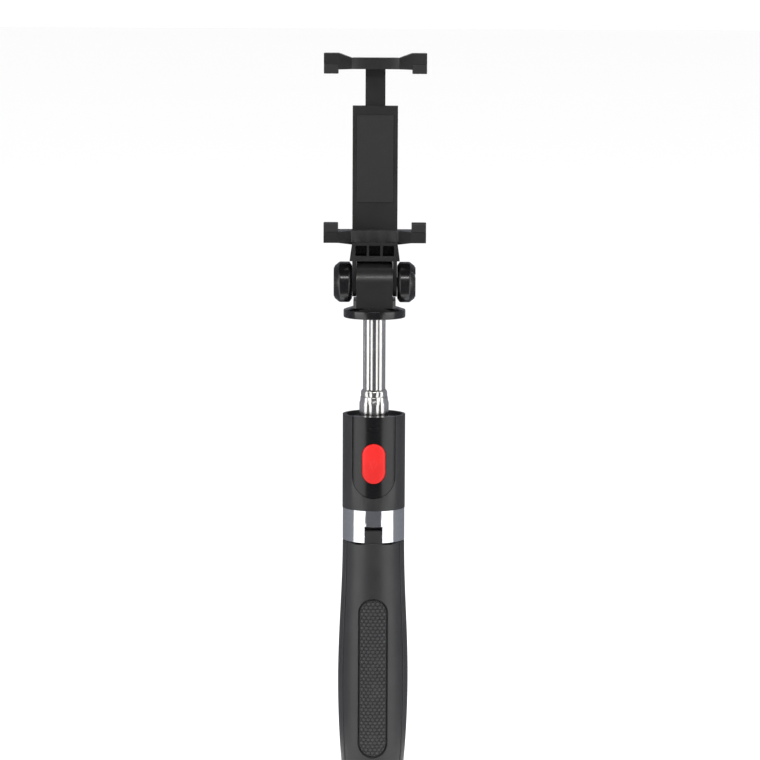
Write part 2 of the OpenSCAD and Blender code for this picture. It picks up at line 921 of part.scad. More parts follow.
module clamp_slider() {
    color([0.08, 0.08, 0.085])
        union() {
            at_grip_face() jaw(upper_jaw_t, upper_crease, upper_arm_h);
            block([-slide_tongue_w / 2, tongue_y[0], slide_tongue_z],
                [slide_tongue_w / 2, tongue_y[1], grip_z + 3]);
            block([-channel_w / 2, channel_front_y, grip_z + 0.2],
                [channel_w / 2, tongue_y[1] + 1, grip_z + upper_jaw_t]);
            block([-wing_half, tongue_y[0], wing_z], [wing_half, tongue_y[1], wing_z + wing_h]);
        }
}

// Point k of ring i of a coiled wire: the wire's circle stands on the helix of radius r.
function coil_point(i, k, r, wire, rise) =
    let (a = i * coil_step, b = 360 * k / coil_sides)
    [(r + wire * cos(b)) * cos(a), (r + wire * cos(b)) * sin(a), i * rise + wire * sin(b)];

module coil(r, wire, turns, height) {
    rings = turns * 360 / coil_step;
    last = rings * coil_sides;
    points = [for (i = [0:rings], k = [0:coil_sides - 1]) coil_point(i, k, r, wire, height / rings)];
    walls = [for (i = [0:rings - 1], k = [0:coil_sides - 1])
        let (a = i * coil_sides + k, b = i * coil_sides + (k + 1) % coil_sides, up = coil_sides)
        each [[a, a + up, b], [b, a + up, b + up]]];
    ends = [for (k = [1:coil_sides - 2]) each [[0, k, k + 1], [last, last + k + 1, last + k]]];
    polyhedron(points = points, faces = concat(walls, ends));
}

module return_spring(side) {
    height = wing_z - spring_foot_z - 2 * (spring_wire_r + spring_gap);
    mid_y = (tongue_y[0] + tongue_y[1]) / 2;
    color([0.7, 0.71, 0.73])
        translate([side * spring_x, mid_y, spring_foot_z + spring_wire_r + spring_gap])
            coil(spring_r - spring_wire_r, spring_wire_r, spring_turns, height);
}

housing_shell();
housing_cap();
hinge_ring();
hinge_hub();
leg_pins();
pole_sleeve();
sleeve_collar();
at_leg(0, leg_shade) leg_shell();  // leg_shell_front
at_leg(0, dark_shade) leg_liner();  // leg_liner_front
at_leg(0, dark_shade) leg_pad();  // leg_pad_front
at_leg(0, dark_shade) leg_foot();  // leg_foot_front
at_leg(1, leg_shade) leg_shell();  // leg_shell_right
at_leg(1, dark_shade) leg_liner();  // leg_liner_right
at_leg(1, dark_shade) leg_pad();  // leg_pad_right
at_leg(1, dark_shade) leg_foot();  // leg_foot_right
at_leg(2, leg_shade) leg_shell();  // leg_shell_left
at_leg(2, dark_shade) leg_liner();  // leg_liner_left
at_leg(2, dark_shade) leg_pad();  // leg_pad_left
at_leg(2, dark_shade) leg_foot();  // leg_foot_left
remote_cover();
remote_back();
circuit_board();
tact_switch();
battery_cell();
light_guide();
shutter_button();
outer_tube();
outer_bush();
middle_tube();
middle_bush();
inner_tube();
inner_bush();
pole_cap();
tilt_block();
clamp_frame();
tilt_bolt();
left_knob();
friction_washers();
right_knob();
knob_nut();
lower_tip(-1);  // lower_tip_left
lower_tip(1);  // lower_tip_right
back_pad();
rear_cover();
cover_screws();
clamp_slider();
upper_tip(-1);  // upper_tip_left
upper_tip(1);  // upper_tip_right
return_spring(-1);  // spring_left
return_spring(1);  // spring_right
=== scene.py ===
"""Looks for a telescopic phone stick with a tripod handle, laid out as an add-on and run as a script."""

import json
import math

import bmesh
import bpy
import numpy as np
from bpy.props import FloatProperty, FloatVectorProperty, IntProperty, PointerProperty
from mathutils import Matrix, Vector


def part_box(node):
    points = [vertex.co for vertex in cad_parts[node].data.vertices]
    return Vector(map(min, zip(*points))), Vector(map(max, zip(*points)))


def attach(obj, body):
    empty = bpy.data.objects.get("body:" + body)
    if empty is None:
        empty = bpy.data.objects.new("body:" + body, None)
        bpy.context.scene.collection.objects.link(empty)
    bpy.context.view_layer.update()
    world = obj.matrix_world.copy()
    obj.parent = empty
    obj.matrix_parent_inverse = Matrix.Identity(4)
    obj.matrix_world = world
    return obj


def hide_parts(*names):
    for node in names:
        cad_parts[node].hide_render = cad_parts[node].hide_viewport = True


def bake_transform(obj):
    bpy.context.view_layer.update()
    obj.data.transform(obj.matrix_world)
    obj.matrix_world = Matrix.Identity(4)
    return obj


bl_info = {
    "name": "Phone stick",
    "version": (1, 0, 0),
    "blender": (4, 5, 0),
    "location": "3D View > Sidebar > Stick",
    "description": "Builds the skins, finishes and stage of a telescopic phone stick round its solid model",
    "category": "Add Mesh",
}

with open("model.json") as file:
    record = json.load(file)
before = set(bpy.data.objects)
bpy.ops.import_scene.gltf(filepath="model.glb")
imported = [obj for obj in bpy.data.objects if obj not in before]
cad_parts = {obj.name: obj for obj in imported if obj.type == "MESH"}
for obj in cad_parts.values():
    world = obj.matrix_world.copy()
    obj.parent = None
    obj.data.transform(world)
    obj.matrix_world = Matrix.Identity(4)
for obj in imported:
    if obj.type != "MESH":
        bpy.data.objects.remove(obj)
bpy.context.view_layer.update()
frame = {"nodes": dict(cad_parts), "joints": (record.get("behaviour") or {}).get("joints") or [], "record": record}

# Lengths below are in millimetres, and become metres when a mesh is made
MM = 0.001
SIDES = ("front", "right", "left")
LEG_TURN = {"front": 0.0, "right": 120.0, "left": 240.0}


def box_mm(node):
    """Lowest and highest corner of a solid, in millimetres."""
    low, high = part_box(node)
    return np.array(low) / MM, np.array(high) / MM


HOUSING_HIGH = box_mm("housing_shell")[1]
RING_LOW, RING_HIGH = box_mm("hinge_ring")
PAD_LOW, PAD_HIGH = box_mm("leg_pad_front")
BUTTON_LOW, BUTTON_HIGH = box_mm("shutter_button")
CAP_LOW, CAP_HIGH = box_mm("pole_cap")
KNOB_LOW, KNOB_HIGH = box_mm("right_knob")
JOINTS = {joint["name"]: joint for joint in frame["joints"]}

HOUSING_R = HOUSING_HIGH[0]
RING_R = RING_HIGH[0]
LEG_TOP = RING_LOW[2] - 0.3  # just clear of the ring
LEG_BORE = 7.9  # radius of the hollow between the closed legs
LEG_TAPER = 0.00113  # how fast the parabola towards the foot narrows
LEG_HALF_ANGLE = np.radians(60.0)  # three legs share the circle
EDGE_SHARE = 0.035  # part of a leg's width that each rolled long edge takes
BED_DEPTH = 0.8  # depth of the bed that holds the grip pad
PAD_EDGE_DEPTH = 0.72  # below the leg's surface, at the pad's edge
PAD_BACK_DEPTH = 0.75  # below the leg's surface, at the pad's back
PAD_CROWN = 0.42  # rise of the pad's rolled edge
TONGUE_R = 3.2  # round end of the hinge tongue
TONGUE_HALF = 3.8  # half the tongue's width
POCKET_R = 3.5  # pocket in the leg's top that clears the hinge
TUBE_WALL = 0.45  # of the thick and middle tubes
THIN_WALL = 0.4  # of the thin tube
BUSH_H = 8  # plain foot of each tube, where its bush sits
PIN_Z = JOINTS["leg_front_hinge"]["pos_m"][2] / MM
PIN_OUT = -JOINTS["leg_front_hinge"]["pos_m"][1] / MM
TILT_Z = JOINTS["clamp_tilt"]["pos_m"][2] / MM


# ---------------------------------------------------------------- settings


def length(name, text, value):
    """A length setting, given in millimetres."""
    return FloatProperty(name=name, description=text, default=value * MM, unit="LENGTH", precision=5)


def tint(name, text, value):
    """A colour setting."""
    return FloatVectorProperty(
        name=name, description=text, default=value, subtype="COLOR", size=3, min=0.0, max=1.0
    )


class StickSizes(bpy.types.PropertyGroup):
    """Sizes of the skins' small detail."""

    swell: length("Leg swell", "Radius of a closed leg at its thickest", 15.7)
    swell_z: length("Swell height", "Height of the thickest place of a leg", 60.0)
    seam: length("Leg seam", "Gap between two closed legs", 0.4)
    leg_edge: length("Leg edge", "Rounding along the long edges of a leg", 0.55)
    foot: length("Foot height", "Height of the rubber foot", 6.0)
    dot_wide: length("Dot pitch across", "Distance between two dots across the grip pad", 1.95)
    dot_high: length("Dot pitch up", "Distance between two dots up the grip pad", 3.07)
    dot_size: length("Dot radius", "Radius of one dot of the grip pad", 0.82)
    dot_rise: length("Dot height", "Height of one dot of the grip pad", 0.42)
    flute: length("Flute depth", "Depth of the grooves along the pole", 0.45)
    edge: length("Moulded edge", "Rounding of the moulded parts' edges", 0.35)
    flute_count: IntProperty(name="Flutes", description="Grooves round a tube", default=8, min=3)


class StickColours(bpy.types.PropertyGroup):
    """Base colours of the finishes."""

    handle: tint("Handle", "Matte plastic of the housing and legs", (0.019, 0.019, 0.020))
    inside: tint("Inside", "Plastic of the hidden parts", (0.006, 0.006, 0.007))
    remote: tint("Remote", "Satin plastic of the remote", (0.004, 0.004, 0.0045))
    head: tint("Head", "Satin plastic of the tilt head and clamp", (0.013, 0.0125, 0.0125))
    knob: tint("Knob", "Polished plastic of the knobs and pole cap", (0.005, 0.005, 0.0055))
    button: tint("Button", "Plastic of the shutter button", (0.60, 0.010, 0.008))
    steel: tint("Pole", "Drawn steel of the tubes", (0.80, 0.79, 0.77))
    chrome: tint("Ring", "Plated hinge ring", (0.86, 0.87, 0.90))
    rubber: tint("Rubber", "Grip pads and feet", (0.010, 0.010, 0.0105))
    brass: tint("Brass", "Nut and washers", (0.75, 0.56, 0.26))
    nylon: tint("Nylon", "Guide bushes", (0.80, 0.79, 0.75))
    board: tint("Board", "Solder mask of the circuit board", (0.02, 0.12, 0.05))
    floor: tint("Floor", "Floor of the stage", (0.97, 0.97, 0.97))


def sizes():
    """The scene's size settings."""
    return bpy.context.scene.stick_sizes


def colours():
    """The scene's colour settings."""
    return bpy.context.scene.stick_colours


# ---------------------------------------------------------------- finishes


class Wire:
    """A node's output that can be added, multiplied and so on, each sum adding its Math node."""

    def __init__(self, finish, socket):
        self.finish = finish
        self.socket = socket

    def _sum(self, operation, first, second):
        return self.finish.node("ShaderNodeMath", {"operation": operation}, {0: first, 1: second})

    def __add__(self, other):
        return self._sum("ADD", self, other)

    __radd__ = __add__

    def __sub__(self, other):
        return self._sum("SUBTRACT", self, other)

    def __rsub__(self, other):
        return self._sum("SUBTRACT", other, self)

    def __mul__(self, other):
        return self._sum("MULTIPLY", self, other)

    __rmul__ = __mul__


class Finish:
    """One node material being built."""

    def __init__(self, name):
        self.material = bpy.data.materials.new(name + "_finish")
        self.material.use_nodes = True
        self.tree = self.material.node_tree
        self.tree.nodes.clear()
        self.place = self.node("ShaderNodeTexCoord", {}, {}, "Object")

    def node(self, kind, settings, inputs, output=0):
        """Adds a node: its settings first, then the values or links of its sockets."""
        made = self.tree.nodes.new(kind)
        for key, value in settings.items():
            setattr(made, key, value)
        for key, value in inputs.items():
            if isinstance(value, Wire):
                self.tree.links.new(value.socket, made.inputs[key])
            else:
                made.inputs[key].default_value = value
        return Wire(self, made.outputs[output])

    def noise(self, scale, detail=3.0, stretch=(1.0, 1.0, 1.0)):
        """Noise of about scale lumps a metre, drawn out along an axis by a stretch below one."""
        where = self.node("ShaderNodeMapping", {}, {"Vector": self.place, "Scale": stretch})
        return self.node("ShaderNodeTexNoise", {}, {"Vector": where, "Scale": scale, "Detail": detail})

    def ramp(self, value, low, high, dark=0.0, light=1.0):
        """The value spread between two stops."""
        return self.node("ShaderNodeMapRange", {}, {0: value, 1: low, 2: high, 3: dark, 4: light})

    def mixed(self, factor, first, second):
        """Two colours mixed by a factor."""
        return self.node(
            "ShaderNodeMix", {"data_type": "RGBA"}, {"Factor": factor, 6: rgba(first), 7: rgba(second)}, 2
        )

    def bump(self, height, distance):
        """The normal of a surface raised by a height times a distance in metres."""
        return self.node("ShaderNodeBump", {}, {"Height": height, "Distance": distance, "Strength": 1.0})

    def finish(self, **sockets):
        """Ends the material with a Principled shader that has these sockets."""
        shader = self.node(
            "ShaderNodeBsdfPrincipled", {}, {key.replace("_", " "): value for key, value in sockets.items()}
        )
        self.node_out(shader)
        return self.material

    def node_out(self, shader):
        """Joins a shader to the material's output."""
        out = self.tree.nodes.new("ShaderNodeOutputMaterial")
        self.tree.links.new(shader.socket, out.inputs["Surface"])


def rgba(colour):
    """A colour with full opacity."""
    return (*colour[:3], 1.0)


def lighter(colour, by):
    """A colour times a number, which may be below 1."""
    return tuple(min(1.0, part * by) for part in colour)


def moulded(name, colour, roughness, grain, depth, shine=0.3, coat=0.0):
    """Moulded plastic: spark-eroded grain, slow colour drift and a few rubbed, shinier patches."""
    make = Finish(name)
    fine = make.noise(grain, 4.0)
    cloud = make.noise(55.0, 3.0)
    rubbed = make.ramp(make.noise(130.0, 5.0), 0.42, 0.72)
    drift = make.ramp(cloud + 0.25 * fine, 0.35, 0.85)
    shade = make.mixed(drift, lighter(colour, 0.82), lighter(colour, 1.2))
    rough = make.ramp(fine, 0.3, 0.7, roughness * 0.92, roughness * 1.08) - 0.05 * rubbed
    return make.finish(
        Base_Color=shade,
        Roughness=rough,
        Specular_IOR_Level=shine,
        Normal=make.bump(fine, depth),
        Coat_Weight=coat,
        Coat_Roughness=0.08,
    )


def polished(name, colour, roughness, coat):
    """Polished plastic: nearly smooth, with hair scratches and dust that only the roughness shows."""
    make = Finish(name)
    haze = make.noise(90.0, 4.0)
    hair = make.noise(900.0, 2.0, (1.0, 1.0, 0.06))
    rough = make.ramp(haze + 0.35 * hair, 0.45, 0.95, roughness, roughness * 1.9)
    shade = make.mixed(make.ramp(haze, 0.35, 0.7), lighter(colour, 0.9), lighter(colour, 1.15))
    return make.finish(
        Base_Color=shade,
        Roughness=rough,
        Normal=make.bump(haze, 0.00001),
        Coat_Weight=coat,
        Coat_Roughness=0.05,
    )


def metal(name, colour, roughness, stretch, scratch, smear=0.06):
    """Metal with fine lines drawn out along one axis and faint fingerprints."""
    make = Finish(name)
    line = make.noise(2600.0, 3.0, stretch)
    smudge = make.ramp(make.noise(75.0, 5.0), 0.45, 0.75)
    rough = make.ramp(line, 0.3, 0.7, roughness * 0.75, roughness * 1.25) + smear * smudge
    shade = make.mixed(make.ramp(line, 0.3, 0.75), lighter(colour, 0.9), colour)
    return make.finish(Base_Color=shade, Metallic=1.0, Roughness=rough, Normal=make.bump(line, scratch))


def rubbery(name, colour, pale):
    """Soft rubber: dull, with a micro grain, a little dust, and paler where the worn attribute says that
    hands have rubbed it."""
    make = Finish(name)
    worn = make.node("ShaderNodeAttribute", {"attribute_name": "worn"}, {}, "Fac")
    grain = make.noise(5200.0, 3.0)
    dust = make.ramp(make.noise(240.0, 5.0), 0.5, 0.8)
    shade = make.mixed(0.2 * dust + 0.15 * grain + 0.6 * worn, colour, lighter(colour, pale))
    return make.finish(
        Base_Color=shade,
        Roughness=make.ramp(grain, 0.3, 0.7, 0.36, 0.5),
        Specular_IOR_Level=0.4,
        Normal=make.bump(grain, 0.000006),
    )


def circuit(name, colour):
    """Solder mask over copper: narrow tracks from a cellular pattern."""
    make = Finish(name)
    cells = make.node(
        "ShaderNodeTexVoronoi", {"feature": "DISTANCE_TO_EDGE"}, {"Vector": make.place, "Scale": 420.0}
    )
    track = make.ramp(cells, 0.03, 0.06, 1.0, 0.0)
    shade = make.mixed(track, colour, lighter(colour, 2.4))
    return make.finish(Base_Color=shade, Roughness=0.35, Normal=make.bump(track, 0.00003))


def clear(name):
    """Clear plastic of the light guide."""
    make = Finish(name)
    frost = make.noise(3000.0, 2.0)
    return make.finish(Base_Color=(0.02, 0.02, 0.022, 1.0), Roughness=make.ramp(frost, 0.3, 0.7, 0.08, 0.2))


def make_finishes():
    """Every finish by the name of its material slot in the record."""
    tone = {key: tuple(getattr(colours(), key)) for key in StickColours.__annotations__}
    drawn = (1.0, 1.0, 0.012)
    turned_lines = (0.04, 0.04, 1.0)
    bare_metal = (0.62, 0.62, 0.64)
    return {
        "handle_plastic": moulded("handle_plastic", tone["handle"], 0.41, 3600.0, 0.000008, 0.5),
        "dark_plastic": moulded("dark_plastic", tone["inside"], 0.40, 3000.0, 0.000006, 0.3),
        "remote_plastic": moulded("remote_plastic", tone["remote"], 0.26, 4200.0, 0.000003, 0.45, 0.1),
        "head_plastic": moulded("head_plastic", tone["head"], 0.37, 3400.0, 0.000008, 0.5, 0.1),
        "gloss_black": polished("gloss_black", tone["knob"], 0.16, 0.25),
        "button_red": moulded("button_red", tone["button"], 0.36, 3000.0, 0.000003, 0.35, 0.05),
        "chrome_ring": metal("chrome_ring", tone["chrome"], 0.07, turned_lines, 0.000002, 0.03),
        "tube_steel": metal("tube_steel", tone["steel"], 0.20, drawn, 0.000006),
        "aluminium_tube": metal("aluminium_tube", bare_metal, 0.34, drawn, 0.00001),
        "steel": metal("steel", bare_metal, 0.28, turned_lines, 0.000008),
        "brass": metal("brass", tone["brass"], 0.28, turned_lines, 0.000008),
        "nylon": moulded("nylon", tone["nylon"], 0.45, 2600.0, 0.000005),
        "grip_rubber": rubbery("grip_rubber", tone["rubber"], 5.0),
        "tip_rubber": rubbery("tip_rubber", lighter(tone["rubber"], 1.7), 1.5),
        "board": circuit("board", tone["board"]),
        "clear_guide": clear("clear_guide"),
    }


def finish_of(slot):
    """The finish made for a material slot."""
    return bpy.data.materials[slot + "_finish"]


# ---------------------------------------------------------------- surfaces


def net(points, around=True, along=False):
    """Quads over a grid of points. Columns run anticlockwise round a shape and close if around is set;
    rows run up it and close if along is set, so that the faces point outwards."""
    rows, columns = points.shape[:2]
    row, column = np.meshgrid(
        np.arange(rows if along else rows - 1), np.arange(columns if around else columns - 1), indexing="ij"
    )
    up, on = (row + 1) % rows, (column + 1) % columns
    here, above = row * columns, up * columns
    quads = np.stack([here + column, here + on, above + on, above + column], -1)
    return points.reshape(-1, 3), quads.reshape(-1, 4).tolist()


def skin(points):
    """A net that closes round its columns, with a flat face over its first and last row."""
    rows, columns = points.shape[:2]
    places, faces = net(points)
    first = list(range(columns))[::-1]
    last = [(rows - 1) * columns + k for k in range(columns)]
    return places, faces + [first, last]


def filleted(corners, radius, steps=5):
    """A closed outline whose corners are replaced by short arcs: each is the quadratic curve from a point
    before the corner to a point after it, both a radius away or half an edge if that is less."""
    corner = np.array(corners, float)
    before = np.roll(corner, 1, 0) - corner
    after = np.roll(corner, -1, 0) - corner
    size_before = np.linalg.norm(before, axis=1, keepdims=True)
    size_after = np.linalg.norm(after, axis=1, keepdims=True)
    radius = np.broadcast_to(np.array(radius, float).reshape(-1, 1), size_before.shape)
    reach = np.minimum(radius, 0.49 * np.minimum(size_before, size_after))
    start = corner + before / size_before * reach
    stop = corner + after / size_after * reach
    t = np.linspace(0.0, 1.0, steps)[None, :, None]
    curve = (1 - t) ** 2 * start[:, None] + 2 * t * (1 - t) * corner[:, None] + t**2 * stop[:, None]
    return curve.reshape(-1, 2)


def turned(outline, steps=128):
    """A closed outline of (radius, height), anticlockwise, carried round the Z axis."""
    angle = np.linspace(0.0, 2 * np.pi, steps, endpoint=False)
    radius, height = np.array(outline).T
    x, y = np.outer(radius, np.cos(angle)), np.outer(radius, np.sin(angle))
    z = np.outer(height, np.ones(steps))
    return net(np.stack([x, y, z], -1), along=True)


def prism(outline, low, high, edge, steps=4):
    """A flat anticlockwise outline carried from low to high, its rims rolled inwards by a quarter circle."""
    flat = np.array(outline, float)
    along = np.roll(flat, -1, 0) - np.roll(flat, 1, 0)
    outward = np.stack([along[:, 1], -along[:, 0]], 1) / np.linalg.norm(along, axis=1, keepdims=True)
    turn = np.linspace(0.0, np.pi / 2, steps)
    inset = np.concatenate([edge * (1 - np.sin(turn)), edge * (1 - np.cos(turn))])
    level = np.concatenate([low + edge * (1 - np.cos(turn)), high - edge * (1 - np.sin(turn))])
    rim = flat[None] - outward[None] * inset[:, None, None]
    height = np.broadcast_to(level[:, None, None], (*rim.shape[:2], 1))
    return skin(np.concatenate([rim, height], -1))


ALONG_X = np.array([[0, 1, 0], [0, 0, 1], [1, 0, 0]], float)


def placed(part, axes=None, shift=(0.0, 0.0, 0.0), turn=0.0):
    """A part turned so that its own axes lie along the three rows given, then round Z, then shifted."""
    places, faces = part
    if axes is not None:
        places = places @ axes
    if turn:
        cosine, sine = math.cos(math.radians(turn)), math.sin(math.radians(turn))
        places = places @ np.array([[cosine, sine, 0], [-sine, cosine, 0], [0, 0, 1]])
    return places + np.array(shift), faces


def piece(name, parts, body, slot, stands_for=(), sharp=32.0):
    """Joins parts, in millimetres, into one object that has a slot's finish and rides on a body, if given."""
    offset, places, faces = 0, [], []
    for part_places, part_faces in parts:
        places.append(part_places)
        faces += [[index + offset for index in face] for face in part_faces]
        offset += len(part_places)
    mesh = bpy.data.meshes.new(name)
    mesh.from_pydata((np.concatenate(places) * MM).tolist(), [], faces)
    mesh.validate()
    made = bpy.data.objects.new(name, mesh)
    bpy.context.scene.collection.objects.link(made)
    smooth(mesh, sharp)
    mesh.materials.append(finish_of(slot))
    if body:
        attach(made, body)
    if stands_for:
        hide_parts(*stands_for)
    return made


def smooth(mesh, sharp):
    """Smooth shading that keeps edges sharper than an angle."""
    mesh.polygons.foreach_set("use_smooth", np.ones(len(mesh.polygons), bool))
    mesh.set_sharp_from_angle(angle=math.radians(sharp))


def rounded_copy(name, node, body, slot, edge):
    """The node's own solid merged into one skin, with its hard edges rolled over by a narrow bevel."""
    work = bmesh.new()
    work.from_mesh(frame["nodes"][node].data)
    bmesh.ops.remove_doubles(work, verts=work.verts, dist=2e-6)
    bmesh.ops.dissolve_limit(work, angle_limit=math.radians(0.8), verts=work.verts, edges=work.edges)
    mesh = bpy.data.meshes.new(name)
    work.to_mesh(mesh)
    work.free()
    mesh.transform(frame["nodes"][node].matrix_world)
    made = bpy.data.objects.new(name, mesh)
    bpy.context.scene.collection.objects.link(made)
    smooth(mesh, 30.0)
    bevel = made.modifiers.new("rolled edges", "BEVEL")
    bevel.width = edge * MM
    bevel.segments = 3
    bevel.limit_method = "ANGLE"
    bevel.angle_limit = math.radians(30.0)
    bevel.miter_outer = "MITER_ARC"
    bevel.harden_normals = True
    mesh.materials.clear()
    mesh.materials.append(finish_of(slot))
    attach(made, body)
    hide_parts(node)
    return made


# ---------------------------------------------------------------- handle


def leg_radius(height):
    """Outer radius of a closed leg: half a cosine wave down from the swell to the ring, and a parabola
    from the swell to the foot."""
    swell, swell_z = sizes().swell / MM, sizes().swell_z / MM
    wave = 0.5 + 0.5 * np.cos(np.pi * (height - swell_z) / (LEG_TOP - swell_z))
    above = RING_R + (swell - RING_R) * wave
    below = swell - LEG_TAPER * (swell_z - height) ** 2
    return np.where(height > swell_z, above, below)


def pad_distance(across, height, half):
    """Signed distance, in the front plane, from the outline of the grip pad: a slot with round ends."""
    middle = (PAD_LOW[2] + PAD_HIGH[2]) / 2
    straight = (PAD_HIGH[2] - PAD_LOW[2]) / 2 - half
    past = np.maximum(np.abs(height - middle) - straight, 0.0)
    return np.hypot(across, past) - half


def eased(value, low, high):
    """Smooth step from 0 at low to 1 at high."""
    t = np.clip((value - low) / (high - low), 0.0, 1.0)
    return t * t * (3 - 2 * t)


def leg_section(height, inner, groove):
    """One closed loop round a leg at each height: the outer arc, with its long edges rolled over and the
    pad's bed sunk into it, then one flat side, the bore, and the other side."""
    edge, gap = sizes().leg_edge / MM, sizes().seam / MM / 2
    half_pad = PAD_HIGH[0]
    height = np.asarray(height, float)[:, None]
    outer = leg_radius(height)
    span = LEG_HALF_ANGLE - np.arcsin(gap / (outer - edge))
    rolled = 1 - np.cos(np.linspace(0.0, np.pi / 2, 7))[:-1]
    face = np.linspace(EDGE_SHARE - 1.0, 1.0 - EDGE_SHARE, 148)
    share = np.concatenate([rolled * EDGE_SHARE - 1.0, face, 1.0 - rolled[::-1] * EDGE_SHARE])
    angle = share[None] * span
    from_edge = (1 - np.abs(share[None])) * span * outer
    rolled_in = edge - np.sqrt(np.maximum(edge**2 - np.maximum(edge - from_edge, 0.0) ** 2, 0.0))
    across = outer * np.sin(angle)
    bed = groove * (1 - eased(pad_distance(across, height, half_pad), 0.38, 0.58)) * BED_DEPTH
    radius = outer - rolled_in - bed
    side = np.linspace(1.0, 0.0, 6)[1:-1][None] * (outer - edge - inner) + inner
    side_angle = LEG_HALF_ANGLE - np.arcsin(gap / side)
    bore_angle = (LEG_HALF_ANGLE - np.arcsin(gap / inner)) * np.linspace(1.0, -1.0, 15)[None]
    bore_angle = np.broadcast_to(bore_angle, (len(height), 15))
    all_radius = np.concatenate([radius, side, np.full_like(bore_angle, inner), side[:, ::-1]], 1)
    all_angle = np.concatenate([angle, side_angle, bore_angle, -side_angle[:, ::-1]], 1)
    return all_radius, all_angle


def leg_loft(height, groove, inset):
    """The leg's loops stacked up, each as points, with an inset at the rows that round its two ends."""
    radius, angle = leg_section(height, LEG_BORE, groove)
    middle = (LEG_BORE + RING_R) / 2
    radius = radius + np.reshape(inset, (-1, 1)) * np.sign(middle - radius)
    level = np.broadcast_to(np.reshape(height, (-1, 1)), radius.shape)
    return np.stack([radius * np.sin(angle), -radius * np.cos(angle), level], -1)


def end_rolls(low, high, edge, rows):
    """Heights from low to high and the inset that rolls both ends over by a quarter circle."""
    turn = np.linspace(0.0, np.pi / 2, 5)
    rise, fall = edge * (1 - np.cos(turn)), edge * (1 - np.sin(turn))
    straight = np.linspace(low + edge, high - edge, rows)[1:-1]
    height = np.concatenate([low + rise, straight, high - fall])
    inset = np.concatenate([fall, np.zeros(rows - 2), rise])
    return height, inset


def leg_shell():
    """Skin of the front leg, its top rows dipped in a round pocket about the hinge pin."""
    foot = sizes().foot / MM
    height, inset = end_rolls(foot + 0.05, LEG_TOP, 0.4, 330)
    points = leg_loft(height, 1.0, inset)
    top = points[-6:]
    out = top[..., 1] + PIN_OUT
    dip = PIN_Z - np.sqrt(np.maximum(POCKET_R**2 - out**2, 0.0))
    top[..., 2] = np.where(np.abs(out) < POCKET_R, np.minimum(top[..., 2], dip), top[..., 2])
    return skin(points)


def leg_tongue():
    """The hinge tongue: a bar with a round top about the pin, its front bent to the ring's curve."""
    turn = np.radians(np.linspace(0.0, 180.0, 25))
    top = np.stack([TONGUE_R * np.cos(turn) - PIN_OUT, TONGUE_R * np.sin(turn) + PIN_Z], 1)
    root = LEG_TOP - 1.5
    outline = np.concatenate([[[-PIN_OUT + 2.4, root]], top, [[-PIN_OUT - TONGUE_R, root]]])
    places, faces = placed(prism(outline, -TONGUE_HALF, TONGUE_HALF, 0.3), ALONG_X)
    bend = np.sqrt((RING_R - 0.2) ** 2 - places[:, 0] ** 2)
    places[:, 1] = np.maximum(places[:, 1], -bend)
    return places, faces


def dots(across, height):
    """Height of the pad's dots: round-topped bumps on two square lattices, half a pitch apart."""
    wide, high = sizes().dot_wide / MM, sizes().dot_high / MM
    size, rise = sizes().dot_size / MM, sizes().dot_rise / MM
    bump = np.zeros_like(across)
    for shift in (0.0, 0.5):
        x = (across / wide + shift + 0.5) % 1.0 - 0.5
        z = (height / high + shift + 0.5) % 1.0 - 0.5
        away = np.hypot(x * wide, z * high) / size
        bump = np.maximum(bump, rise * np.sqrt(np.maximum(1 - away**2, 0.0)))
    return bump


def leg_pad():
    """The front leg's grip pad, a slot outline on the leg's curve with rolled edges, dots and a plain back,
    and how worn each of its points is."""
    half = PAD_HIGH[0]
    tall = (PAD_HIGH[2] - PAD_LOW[2]) / 2
    middle = (PAD_HIGH[2] + PAD_LOW[2]) / 2
    turn = np.linspace(-1.0, 1.0, 440)[:, None]
    height = middle + (tall - 0.004) * turn
    past = np.maximum(np.abs(height - middle) - (tall - half), 0.0)
    wide = np.sqrt(np.maximum(half**2 - past**2, 1e-4))
    bunched = np.sin(np.linspace(-np.pi / 2, np.pi / 2, 100))[None]
    across = wide * bunched * 0.35 + wide * 0.65 * np.linspace(-1.0, 1.0, 100)
    inward = np.clip(-pad_distance(across, height, half) / 0.4, 0.0, 1.0)
    rolled = np.sqrt(1 - (1 - inward) ** 2)
    bump = dots(across, height - middle) * eased(inward, 0.8, 1.0)
    front = leg_radius(height) - PAD_EDGE_DEPTH + PAD_CROWN * rolled + bump
    back = np.broadcast_to(leg_radius(height) - PAD_BACK_DEPTH, front.shape)
    both_across = np.concatenate([across, across[:, ::-1]], 1)
    both_out = np.concatenate([front, back[:, ::-1]], 1)
    depth = np.sqrt(both_out**2 - both_across**2)
    worn = np.concatenate([bump / (sizes().dot_rise / MM), np.zeros_like(bump)], 1)
    points = np.stack([both_across, -depth, np.broadcast_to(height, depth.shape)], -1)
    return skin(points), worn.ravel() ** 2


def leg_foot():
    """The front leg's rubber foot, in line with the leg, its bottom edge rolled over."""
    height, inset = end_rolls(0.0, sizes().foot / MM, 0.8, 14)
    inset[-5:] *= 0.3
    return skin(leg_loft(height, 0.0, inset))


# ---------------------------------------------------------------- pole


